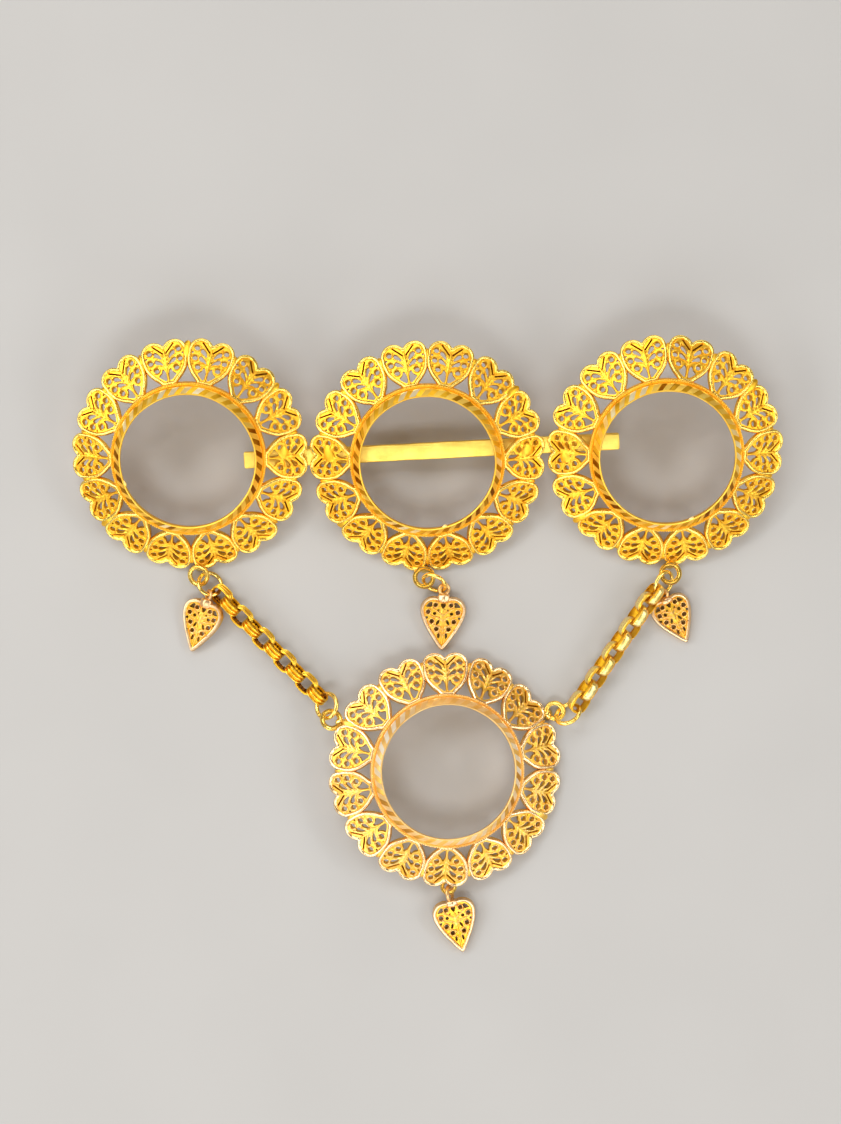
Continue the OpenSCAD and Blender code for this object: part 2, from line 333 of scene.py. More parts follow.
def heart_outline(u, v, r, tip_w, tip_v, step, bulge=0.0, via=()):
    """Right half from tip to cleft, mirrored: a full side, a round lobe and a small cleft."""
    if len(via):
        a0 = math.atan2(via[-1][1] - v, via[-1][0] - u) + 0.35
        start = (u + r * math.cos(a0), v + r * math.sin(a0))
        side = curve([(tip_w, tip_v)] + list(via) + [start], 8)[:-1]
    else:
        tx, ty = tangent(tip_w, tip_v, u, v, r)
        a0 = math.atan2(ty - v, tx - u)
        s = np.linspace(0, 1, 24)[:-1]
        side = np.stack([tip_w + (tx - tip_w) * s, tip_v + (ty - tip_v) * s], 1)
        across = np.array([ty - tip_v, tip_w - tx])
        side += np.sin(math.pi * s ** 0.8)[:, None] ** 1.2 * bulge * across / np.hypot(*across)
    a1 = math.pi - (math.acos(u / r) + 0.05 if u < r else math.atan(0.42 * r / u))
    a = np.linspace(a0, a1, 60)
    lobe = np.stack([u + r * np.cos(a), v + r * np.sin(a)], 1)
    half = np.vstack([side, lobe])
    if u >= r:
        half = np.vstack([half, [[0.05, v + 0.44 * r]]])
    loop = np.vstack([half, half[::-1] * (-1, 1)])
    return even(loop, step)


def curve(points, n):
    """A smooth open line through the points."""
    p = np.asarray(points, float)
    q = np.vstack([2 * p[0] - p[1], p, 2 * p[-1] - p[-2]])
    t = (np.arange(n) / n)[:, None]
    out = []
    for a, b, c, d in zip(q, q[1:], q[2:], q[3:]):
        out.append(0.5 * (2 * b + (c - a) * t + (2 * a - 5 * b + 4 * c - d) * t ** 2 + (3 * b - a - 3 * c + d) * t ** 3))
    return np.vstack(out + [p[-1:]])


def ridge(x, power=0.6):
    """A round ridge over x from 0 to 1."""
    return np.clip(1 - (2 * np.clip(x, 0, 1) - 1) ** 2, 0, 1) ** power


# ---------------------------------------------------------------- heart petals
def petal():
    side = [(1.52, -3.25), (2.4, -2.38), (3.16, -1.3), (3.47, -0.4), (3.66, 0.5)]
    outline = heart_outline(1.7, 1.63, 2.02, 1.0, -3.9, 0.14, via=side)
    rings = [(2.36, 1.9, 0.4), (2.38, 0.25, 0.4), (1.6, -1.15, 0.4)]
    loops = []
    for x, y, r in rings:
        loops += both(circle(r, 20, x, y))
    loops += both(circle(0.19, 12, 2.94, 1.08))
    upper = [(-1.66, 2.0), (-1.2, 1.86), (-0.8, 1.4), (-0.5, 0.8), (-0.6, 0.6), (-1.08, 0.9), (-1.76, 1.32)]
    lower = [(-1.64, 0.78), (-1.2, 0.62), (-0.7, 0.2), (-0.34, -0.38), (-0.48, -0.46), (-0.9, -0.22), (-1.52, -0.14), (-1.76, 0.2)]
    root = [(-0.72, -1.02), (-0.44, -1.12), (-0.2, -1.66), (-0.2, -3.2), (-0.62, -3.05), (-1.5, -2.25), (-1.3, -1.96), (-0.84, -1.6)]
    for shape in (upper, lower, root):
        for loop in both(shape):
            loops.append(even(soften(loop), 0.12))
    ribs = [
        [(-0.16, 0.6), (-0.9, 1.5), (-1.6, 2.26)],
        [(-0.16, -0.15), (-0.6, 0.35), (-1.16, 0.82), (-1.7, 1.14)],
        [(-0.12, -0.95), (-0.45, -0.58), (-0.9, -0.36), (-1.5, -0.32)],
    ]
    ribs = [line for rib in ribs for line in both(rib)]
    grooves = both([(-1.6, 2.86), (-1.05, 2.3), (-0.36, 1.6)])
    trunk = np.array([(0, 2.0), (0, -3.7)])
    pits = [(s * 2.47, -0.72) for s in (-1, 1)]

    def height(p):
        edge = from_loop(p, outline)
        border = ridge(edge / 0.57)
        z = 0.3 * border
        # the border takes the top tone: it is polished, and its colour is painted up towards the glint as a painted
        # highlight; the raised rings and ribs are painted paler, partly for polish and partly as painted highlight
        tone = np.where(edge < 0.52, 1.0, 0.55)
        for x, y, r in rings:
            for s in (-1, 1):
                e = np.hypot(p[:, 0] - s * x, p[:, 1] - y) - r
                z = np.maximum(z, 0.17 * ridge(e / 0.25, 0.5) * (e > -0.01))
                tone = np.where((e < 0.2) & (edge > 0.45), 0.72, tone)
        for rib in ribs:
            d = from_line(p, rib)
            z = np.maximum(z, 0.15 * np.clip(1 - (d / 0.13) ** 2, 0, 1) ** 0.5)
            tone = np.where((d < 0.09) & (edge > 0.5), 0.72, tone)
        wide = 0.17 + 0.2 * np.exp(-(((p[:, 1] - 0.1) / 0.8) ** 2))
        z = np.maximum(z, 0.17 * np.clip(1 - (from_line(p, trunk) / wide) ** 2, 0, 1) ** 0.5)
        # grooves and pits are sunk and painted dark, as painted shade
        for line in grooves:
            g = np.clip(1 - (from_line(p, line) / 0.12) ** 2, 0, 1) ** 0.5
            z -= 0.36 * g
            tone = np.where(g > 0.35, 0.0, tone)
        for x, y in pits:
            g = np.clip(1 - (np.hypot(p[:, 0] - x, p[:, 1] - y) / 0.16) ** 2, 0, 1)
            z -= 0.2 * g
            tone = np.where(g > 0.4, 0.1, tone)
        return 0.6 + z, tone

    loop = wound(outline, True)
    rows = [inward(loop, d) for d in (0.06, 0.16, 0.285, 0.41, 0.51, 0.6)]
    for x, y, r in rings:
        for s in (-1, 1):
            for d in (0.06, 0.125, 0.19, 0.26):
                rows.append(circle(r + d, 22, s * x, y))
    for line in grooves + ribs:
        q = np.asarray(line)
        for off in (0.0, 0.07, -0.07, 0.14, -0.14):
            s = np.linspace(0, len(q) - 1, 14)
            i = np.minimum(s.astype(int), len(q) - 2)
            pts = q[i] + (s - i)[:, None] * (q[i + 1] - q[i])
            d = q[i + 1] - q[i]
            d /= np.hypot(*d.T)[:, None]
            rows.append(pts + off * np.stack([-d[:, 1], d[:, 0]], 1))
    for x in (0.0, 0.09, -0.09, 0.18, -0.18):
        y = np.arange(-3.6, 2.2, 0.13)
        rows.append(np.stack([np.full_like(y, x), y], 1))
    return plate(outline, loops, height, 0.19, rows)


PETAL = petal()


def solder_joint(bag, base, angle, size=(1.25, 0.5, 0.46), reach=16.85, seed=0.0, low=0.0):
    """A drop of solder over the place where two hearts touch."""
    v = 1.25 + (reach - 16.85)
    z = 1.7136 - v * sind(SLOPE) + 0.9 * cosd(SLOPE) - 0.24 + low
    m = base @ turn("Z", angle) @ shift(reach, 0, z) @ turn("Y", SLOPE)
    v, f = dome(*size, n=22, k=9, rough=0.12, seed=seed, floor=-0.9)
    bag.add(v, f, m, 0.56)


def hearts(base, first, seed, flooded, smears=()):
    bag = Bag()
    v, f, t = PETAL
    for i in range(HEARTS):
        k = seed * 31 + i
        j = (
            shift(0.05 * wobble(k, 1), 0.06 * wobble(k, 2) - 0.03, 0.04 * wobble(k, 3))
            @ turn("Z", 1.3 * wobble(k, 4)) @ turn("X", 1.6 * wobble(k, 5)) @ turn("Y", 2.2 * wobble(k, 6))
        )
        m = base @ turn("Z", first + i * 360 / HEARTS - 90) @ PLATE @ j
        bag.add(v, f, m, t)
        for n, u, w, su, sw in smears:
            if n == i:
                q, g = dome(su, sw, 0.16, n=26, k=8, rough=0.22, seed=k + u, floor=-0.8)
                bag.add(q, g, m @ shift(u, w, 0.7), 0.56)
    for i in range(HEARTS):
        k = seed * 17 + i
        a = first + (i + 0.5) * 360 / HEARTS
        size = (0.95 + 0.2 * wobble(k, 7), 0.34 + 0.07 * wobble(k, 8), 0.4)
        if i in flooded:
            size = (1.6, 0.8, 0.36)
        solder_joint(bag, base, a, size, 16.85 + (0.2 if i in flooded else 0.0), k)
    return bag


# ---------------------------------------------------------------- seat wall and bezel
CUTS = 36


def bezel(base, seed, painted_shade, painted_highlight, least=0.42, tabs=()):
    """The two stretch lists give (middle, half width, strength): in the first, one facet of each cut is painted dark
    as painted shade, and those cuts are also cut deeper; in the second, the other facet is painted pale up to a white
    glint as a painted highlight.
    """

    def along(a, stretches):
        off = [(abs((a - m + 180) % 360 - 180) / w, k) for m, w, k in stretches]
        return max([k * min(1.0, max(0.0, 1.6 - q)) for q, k in off] + [0.0])

    phases = np.array([0.0, 0.02, 0.14, 0.28, 0.42, 0.55, 0.57, 0.68, 0.79, 0.9])
    height = np.interp(phases, [0, 0.55, 1.0], [0.0, -1.0, 0.0])
    shaded_facet = np.where(phases > 0.56, 1.0, 0.0)
    shaded_facet[0] = 1.0
    col_a = ((np.arange(CUTS)[:, None] + phases) / CUTS * 2 * math.pi).ravel()
    col_h = np.tile(height, CUTS)
    uneven = np.array([1 + 0.3 * wobble(i + 40 * seed, 3) for i in range(CUTS)])
    strength = np.array([least + (1 - least) * along((i + 0.75) * 360 / CUTS - 4.6, painted_shade) for i in range(CUTS)])
    strength = np.clip(strength * np.array([0.9 + 0.25 * wobble(i + 9 * seed, 5) for i in range(CUTS)]), 0, 1)
    painted_glint = np.array([along((i + 0.3) * 360 / CUTS - 4.6, painted_highlight) for i in range(CUTS)])
    uneven *= 0.5 + 0.5 * strength
    col_h = col_h * np.repeat(uneven, len(phases))
    outer, inner = (11.8, 5.06), (10.95, 6.08)
    band = [(outer[0] + (inner[0] - outer[0]) * s, outer[1] + (inner[1] - outer[1]) * s + 0.05 * math.sin(math.pi * s)) for s in np.linspace(0, 1, 7)]
    rows = [(12.35, 3.2, 0), (12.36, 3.9, 0), (12.35, 4.3, 0), (12.28, 4.46, 0), (12.12, 4.55, 0), (12.07, 4.56, 0), (12.0, 4.6, 0), (11.92, 4.7, 0), (11.86, 4.86, 0), (11.82, 5.02, 0)]
    rows += [(r, z, 1) for r, z in band]
    rows += [(10.93, 6.13, 0), (10.87, 6.2, 0), (10.78, 6.21, 0), (10.7, 6.16, 0), (10.64, 6.04, 0), (10.63, 5.8, 0), (10.64, 5.56, 0), (10.7, 5.5, 0), (11.1, 5.5, 0), (11.1, 4.3, 0), (11.1, 3.26, 0), (11.16, 3.2, 0), (11.7, 3.2, 0), (12.28, 3.2, 0)]
    tone = {0: 0.6, 1: 0.8}
    v, t = [], []
    for i, (r, z, cut) in enumerate(rows):
        twist = -math.radians(4.6) * np.clip((r - 10.95) / 0.85, 0, 1) if z > 4.8 else -math.radians(4.6)
        a = col_a + twist
        depth = 0.17 * col_h * cut
        rr, zz = r + depth * 0.77, z + depth * 0.64
        if 10.6 < r < 10.95 and z > 5.9:
            rr = rr + 0.02 * np.sin(5 * a + seed) + 0.012 * np.sin(11 * a)
        v.append(np.stack([rr * np.cos(a), rr * np.sin(a), zz * np.ones_like(a)], 1))
        value = tone[cut] * np.ones_like(a)
        # on the cut band one facet of each cut is painted darker as painted shade, most in the shade stretches, and
        # the other is painted paler up to a painted glint in the glint stretches
        if cut:
            value = np.where(shaded_facet > 0.5, 0.64 - 0.64 * strength[:, None], 0.76 + 0.3 * painted_glint[:, None]).ravel()
        if 10.7 <= r <= 10.93 and z > 6:
            value = 0.62
        # the groove between the beads and the band and the lower and inner walls are painted a little deeper in tone,
        # a slight painted shade
        if 11.82 <= r <= 12.1 and 4.5 < z < 5.0:
            value = 0.44
        if z < 4.4 or r in (11.1, 10.64):
            value = 0.45
        t.append(np.broadcast_to(value, (len(a),)))
    n, k = len(rows), len(col_a)
    bag = Bag().add(np.concatenate(v), sheet(n, k, close_rows=True, close_cols=True, flip=True), base, np.concatenate(t))
    bead, bead_f = dome(0.165, 0.165, 0.19, n=8, k=5, floor=-0.4)
    count = 206
    for i in range(count):
        a = 360 * i / count
        s = 1 + 0.1 * wobble(i, seed)
        bag.add(bead * s, bead_f, base @ turn("Z", a) @ shift(12.21 + 0.012 * wobble(i, 2), 0, 4.55) @ turn("Y", 35), 0.66)
    for a in tabs:
        q, g = dome(0.26, 0.5, 0.2, n=14, k=6, rough=0.2, seed=a, floor=-0.7)
        bag.add(q, g, base @ turn("Z", a) @ shift(10.62, 0, 6.0), 0.9)
    return bag


# ---------------------------------------------------------------- eyelets and rings
def washer_section(w, n=13):
    """Flat ring stock with three ridges on each face."""
    x = w * np.cos(np.linspace(0, math.pi, n))
    z = 0.78 * w * np.clip(1 - (x / (1.02 * w)) ** 2, 0, 1) ** 0.35 + 0.1 * w * np.cos(2 * math.pi * x / (0.66 * w)) - 0.06 * w
    top = np.stack([x, z], 1)
    return np.vstack([top, (top * (1, -1))[::-1][1:-1]])


def eyelet(bag, p, tilt, lean, r, w):
    v, f = hoop(r, washer_section(w), n=56)
    bag.add(v, f, ring_at(p, tilt, lean), 0.6)


def eyelet_solder(bag, p, facing, r, low, w, seed):
    x, y = p[0] + r * cosd(facing), p[1] + r * sind(facing)
    top = p[2] + 0.22
    v, f = dome(w, w * 1.05, top - low, n=22, k=9, rough=0.1, seed=seed, floor=0.0)
    v[:, :2] *= 1 - 0.12 * np.clip(v[:, 2:] / (top - low), 0, 1)
    bag.add(v, f, LYING @ shift(x, y, low) @ turn("Z", facing), 0.75)


def wire_ring(name, radius, w, place, seed, material, node):
    """A round wire bent to a ring, with its butted ends showing as a fine line."""
    n = 96

    def shape(a):
        d = np.abs((a - seed + math.pi) % (2 * math.pi) - math.pi)
        return np.where(d < 0.034, 0.86, 1.0) * (1 - 0.02 * (1 + np.sin(3 * a + seed)))

    v, f = hoop(radius, circle(w, 18), n=n, shape=shape, turn_by=lambda a: 0.02 * np.sin(2 * a + seed))
    a = np.repeat(np.arange(n) * 2 * math.pi / n, 18)
    d = np.abs((a - seed + math.pi) % (2 * math.pi) - math.pi)
    bag = Bag().add(v, f, place, np.where(d < 0.034, 0.1, 0.7))
    return build(bag, name, material, [node])


# ---------------------------------------------------------------- chain links
def link_mesh(puffed, wide):
    """Wide oval band, widest along its sides, with ribs between grooves that deepen toward the sides, where painted
    shade darkens them to stand for open slots; the crests of the ribs are painted lighter as painted highlight.
    """
    if puffed:
        w_ = [1.0, 0.985, 0.955, 0.925, 0.905, 0.87, 0.82, 0.79, 0.74, 0.66, 0.56, 0.46, 0.34, 0.18, 0.0]
        o_ = [1.18, 1.28, 1.34, 1.35, 1.31, 1.28, 1.29, 1.35, 1.41, 1.45, 1.48, 1.5, 1.515, 1.53, 1.535]
        cut, narrow, broad = (0.8, 0.91), 0.46, 0.9
    else:
        w_ = [1.0, 0.985, 0.93, 0.86, 0.78, 0.7, 0.64, 0.62, 0.42, 0.22, 0.2, 0.12, 0.0]
        o_ = [1.2, 1.34, 1.45, 1.5, 1.5, 1.46, 1.38, 1.33, 1.31, 1.33, 1.4, 1.47, 1.49]
        cut, narrow, broad = (0.21, 0.63), 0.5, 0.81
    s = np.array([-q for q in w_] + w_[-2::-1])
    o = np.array(o_ + o_[-2::-1])
    groove = ((np.abs(s) > cut[0]) & (np.abs(s) < cut[1])).astype(float)
    painted_highlight = np.clip((o - 1.36) / 0.1, 0, 1)
    inner = np.array([(0.95, 1.06), (0.7, 0.975), (0.35, 0.96), (0.0, 0.96), (-0.35, 0.96), (-0.7, 0.975), (-0.95, 1.06)])
    n = 84
    v, t = [], []
    for q in np.arange(n) * 2 * math.pi / n:
        c, d = math.cos(q), math.sin(q)
        centre = 0.5 * np.clip(c * 3.2, -1, 1)
        side = abs(d)
        if puffed:
            groove_depth_and_shade = math.exp(-(((side - 0.8) / 0.16) ** 2))
            depth = 0.05 + 0.24 * groove_depth_and_shade
        else:
            groove_depth_and_shade = min(1.0, max(0.0, (side - 0.35) / 0.25)) * (1 - 0.75 * math.exp(-(((abs(c) - 0.1) / 0.06) ** 2)))
            depth = 0.04 + 0.28 * groove_depth_and_shade
        swell = 1.42 + (o - 1.42) * side ** 1.5 if puffed else o - 0.17 * (1 - side ** 1.5)
        swell = np.minimum(swell, o)
        ro = swell - depth * groove
        half = wide * broad * (narrow + (1 - narrow) * side ** 0.9)
        ring = [(centre + r * c, r * d, w * half) for w, r in zip(s, ro)]
        thin = 0.24 * side ** 1.6
        ring += [(centre + (r + thin) * c, (r + thin) * d, w * half) for w, r in inner]
        v.append(ring)
        # the grooves are painted dark as painted shade, darkest where they stand for open slots, and the crests of the
        # ribs are painted lighter as a painted highlight
        t.append(np.r_[np.where(groove > 0, 0.35 - 0.35 * groove_depth_and_shade, 0.55 + 0.4 * painted_highlight), np.full(len(inner), 0.4)])
    v = np.array(v)
    k = v.shape[1]
    return v.reshape(-1, 3), [sheet(n, k, close_rows=True, close_cols=True, flip=False)], np.concatenate(t)


# roll of the ribbed bands about the chain, by which each shows more of its outer side
EASE = (-9.0, 0.0)

CHAINS = [((-31.7, -24.3, 1.75), (-17.75, -38.65, 1.75), 120), ((35.3, -23.95, 2.35), (24.5, -39.85, 1.75), 151)]
FIRST_LINKS = [((-33.25, -22.65, 1.56), -43.5, 8, 32), ((36.45, -22.45, 2.15), -127.5, 0, 57)]


def link_place(c, i):
    if i == 0:
        o = FIRST_LINKS[c]
        return LYING @ shift(*o[0]) @ turn("Z", o[1]) @ turn("Y", -o[2]) @ turn("X", o[3])
    p, q = np.array(CHAINS[c][0]), np.array(CHAINS[c][1])
    v = q - p
    at = p + (i - 1) / 8 * v
    az, up = math.degrees(math.atan2(v[1], v[0])), math.degrees(math.atan2(v[2], math.hypot(v[0], v[1])))
    return LYING @ shift(*at) @ turn("Z", az) @ turn("Y", -up) @ turn("X", CHAINS[c][2] + EASE[c] + 90 * ((i - 1) % 2))


# ---------------------------------------------------------------- heart drops
# bail place, direction from tip to bail, bail turn, bail radius, bail wire, collar top, roll,
# lobe place, lobe radius, length of the plate
DROPS = [
    ((-35.25, -22.6, 2.2), 72.7, -56, 0.72, 0.25, 9.02, -14, 1.36, 1.97, 8.5),
    ((2.7, -21.69, 1.62), 87.6, 24, 0.8, 0.29, 9.15, 0, 1.52, 2.2, 8.65),
    ((38.15, -22.45, 0.98), 116.3, -41, 0.75, 0.27, 8.0, -4, 1.34, 1.95, 8.0),
    ((3.58, -70.75, 2.0), 103, 70, 1.15, 0.29, 8.8, 0, 1.43, 2.06, 8.75),
]
DROP_SIDE = [(0.95, 0.95), (1.62, 1.95), (2.27, 2.9), (2.85, 3.9), (3.3, 4.85), (3.56, 5.6)]


def drop_plate(u, r, length):
    k = np.array([(u + r) / 3.72, length / 8.65])
    outline = heart_outline(u, length - r, r, 0.16, 0.0, 0.14, via=[tuple(np.array(p) * k) for p in DROP_SIDE])
    rings = [(1.26, 7.3, 0.3), (2.4, 6.16, 0.32), (1.79, 4.63, 0.32), (0.98, 3.4, 0.31)]
    plain = [(1.36, 5.9, 0.29), (2.62, 5.2, 0.22), (0.74, 6.5, 0.15), (1.92, 3.32, 0.12)]
    rings = [(x * k[0], y * k[1], q) for x, y, q in rings]
    loops = []
    for x, y, q in rings:
        loops += both(circle(q, 18, x, y))
    for x, y, q in plain:
        loops += both(circle(q, 12, x * k[0], y * k[1]))
    slots = [
        [(0.6, 5.0), (0.92, 4.72), (1.12, 4.3), (1.04, 4.02), (0.7, 4.16), (0.5, 4.62)],
        [(0.54, 2.8), (0.84, 2.54), (0.82, 2.04), (0.6, 1.8), (0.4, 2.04), (0.42, 2.58)],
        [(1.78, 6.9), (1.76, 7.8), (2.24, 7.76), (2.92, 6.94), (2.36, 6.92)],
    ]
    for shape in slots:
        for loop in both(np.array(shape) * k):
            loops.append(even(soften(loop), 0.12))
    loops.append(even(soften(np.array([(-0.6, 7.58), (0.6, 7.58), (0.0, 6.5)]) * k), 0.12))
    ribs = [
        [(0.0, 5.6), (0.6, 6.06), (1.78, 6.78)],
        [(0.0, 4.7), (0.72, 5.26), (1.9, 5.5), (2.3, 5.66)],
        [(0.0, 3.1), (0.5, 3.82), (1.3, 3.98), (2.2, 4.3)],
        [(0.0, 2.1), (0.44, 2.86), (1.2, 2.86)],
    ]
    ribs = [line * k for rib in ribs for line in both(rib)]
    trunk = np.array([(0, 6.4), (0, 1.0)]) * k

    def height(p):
        edge = from_loop(p, outline)
        z = 0.29 * ridge(edge / 0.62, 0.42)
        # the border takes the top tone: a polished rose edge whose colour is painted up towards the glint as a painted
        # highlight; the raised rings and ribs are painted paler, partly for polish and partly as painted highlight
        tone = np.where(edge < 0.55, 1.0, 0.52)
        for x, y, q in rings:
            for s in (-1, 1):
                e = np.hypot(p[:, 0] - s * x, p[:, 1] - y) - q
                z = np.maximum(z, 0.17 * ridge(e / 0.25, 0.5) * (e > -0.01))
                tone = np.where((e < 0.2) & (edge > 0.55), 0.72, tone)
        for rib in ribs:
            d = from_line(p, rib)
            z = np.maximum(z, 0.15 * np.clip(1 - (d / 0.13) ** 2, 0, 1) ** 0.5)
            tone = np.where((d < 0.08) & (edge > 0.5), 0.7, tone)
        wide = 0.17 + 0.26 * np.exp(-(((p[:, 1] - 5.4 * k[1]) / 0.9) ** 2))
        z = np.maximum(z, 0.17 * np.clip(1 - (from_line(p, trunk) / wide) ** 2, 0, 1) ** 0.5)
        return 0.26 + z, tone

    loop = wound(outline, True)
    rows = [inward(loop, d) for d in (0.05, 0.14, 0.3, 0.46, 0.56, 0.64)]
    for x, y, q in rings:
        for s in (-1, 1):
            for d in (0.06, 0.125, 0.19, 0.26):
                rows.append(circle(q + d, 22, s * x, y))
    for q in ribs:
        for off in (0.0, 0.07, -0.07, 0.14, -0.14):
            a = np.linspace(0, len(q) - 1, 16)
            i = np.minimum(a.astype(int), len(q) - 2)
            pts = q[i] + (a - i)[:, None] * (q[i + 1] - q[i])
            d = q[i + 1] - q[i]
            d /= np.hypot(*d.T)[:, None]
            rows.append(pts + off * np.stack([-d[:, 1], d[:, 0]], 1))
    for x in (0.0, 0.1, -0.1, 0.2, -0.2):
        y = np.arange(1.0, 6.3, 0.13)
        rows.append(np.stack([np.full_like(y, x), y], 1))
    return plate(outline, loops, height, 0.17, rows, under=-0.55)


def collar(low, top):
    """Folded strap between plate and bail, flat on the back, rounded at its foot."""
    prof = [(0.0, 0.3), (0.03, 0.5), (0.1, 0.72), (0.2, 0.9), (0.32, 1.0), (0.45, 1.03), (0.6, 1.02), (0.75, 1.0), (0.86, 0.97), (0.94, 0.88), (0.98, 0.7), (1.0, 0.4)]
    n = 40
    a = np.arange(n) * 2 * math.pi / n
    v = []
    for h, r in prof:
        rr = r * (1 - 0.035 * np.cos(6 * a))
        v.append(np.stack([rr * np.cos(a), np.full(n, low + h * (top - low)), np.maximum(rr * 0.98 * np.sin(a), -0.55)], 1))
    v = np.concatenate(v)
    rows = len(prof)
    v = np.vstack([v, [[0, low, 0.0], [0, top, 0.0]]])
    j = np.arange(n)
    faces = [sheet(rows, n, close_cols=True, flip=True)]
    faces.append(np.stack([j, (j + 1) % n, np.full(n, rows * n)], 1))
    faces.append(np.stack([(rows - 1) * n + (j + 1) % n, (rows - 1) * n + j, np.full(n, rows * n + 1)], 1))
    return v, faces


def drop(i, name, node, material):
    b, az, bail_turn, br, bw, top, roll, u, r, length = DROPS[i]
    run = top - 0.1 + br
    rise = math.degrees(math.asin((b[2] - 0.55 - 0.05) / run))
    m = LYING @ shift(*b) @ turn("Z", az - 90) @ turn("X", rise) @ shift(0, -run)
    flat = m @ turn("Y", roll)
    bag = Bag()
    v, f, t = drop_plate(u, r, length)
    bag.add(v, f, flat, t)
    # the collar is painted close to the glint colour, a painted highlight
    v, f = collar(length - 1.15, top)
    bag.add(v, f, flat, 0.97)
    v, f = hoop(br, circle(bw, 16, squash=1.0), n=48, turn_by=lambda a: 0.015 * np.sin(2 * a))
    bag.add(v, f, m @ shift(0, run) @ turn("Y", bail_turn), 0.8)
    return build(bag, name, material, [node])


# ---------------------------------------------------------------- bar and pin
def rounded(w, h, r, n=5):
    pts = []
    for cx, cy, a in ((w / 2 - r, h / 2 - r, 0), (-w / 2 + r, h / 2 - r, 90), (-w / 2 + r, -h / 2 + r, 180), (w / 2 - r, -h / 2 + r, 270)):
        for q in np.linspace(a, a + 90, n):
            pts.append((cx + r * cosd(q), cy + r * sind(q)))
    return np.array(pts)


def long_bar(length, w, h, r, stations, waver=0.0, seed=0.0):
    """A bar along X with rounded corners and ends, a little uneven as rolled and filed by hand."""
    x = np.concatenate([[0.0, 0.05, 0.14], np.linspace(0.3, length - 0.3, stations), [length - 0.14, length - 0.05, length]])
    pull = np.interp(np.minimum(x, length - x), [0, 0.05, 0.14, 0.3], [0.62, 0.88, 0.97, 1.0])
    wav = 1 - waver * (0.5 + 0.5 * np.sin(0.9 * x + seed) * np.cos(0.37 * x))
    sec = rounded(w, h, r)
    secs = np.stack([sec * (p * q, 0.5 + 0.5 * p) for p, q in zip(pull, wav)])
    p = np.stack([x - length / 2, 0 * x, 0 * x], 1)
    side = np.tile([0.0, 1.0, 0.0], (len(x), 1))
    up = np.tile([0.0, 0.0, 1.0], (len(x), 1))
    return tube((p, side, up), secs, closed=False)


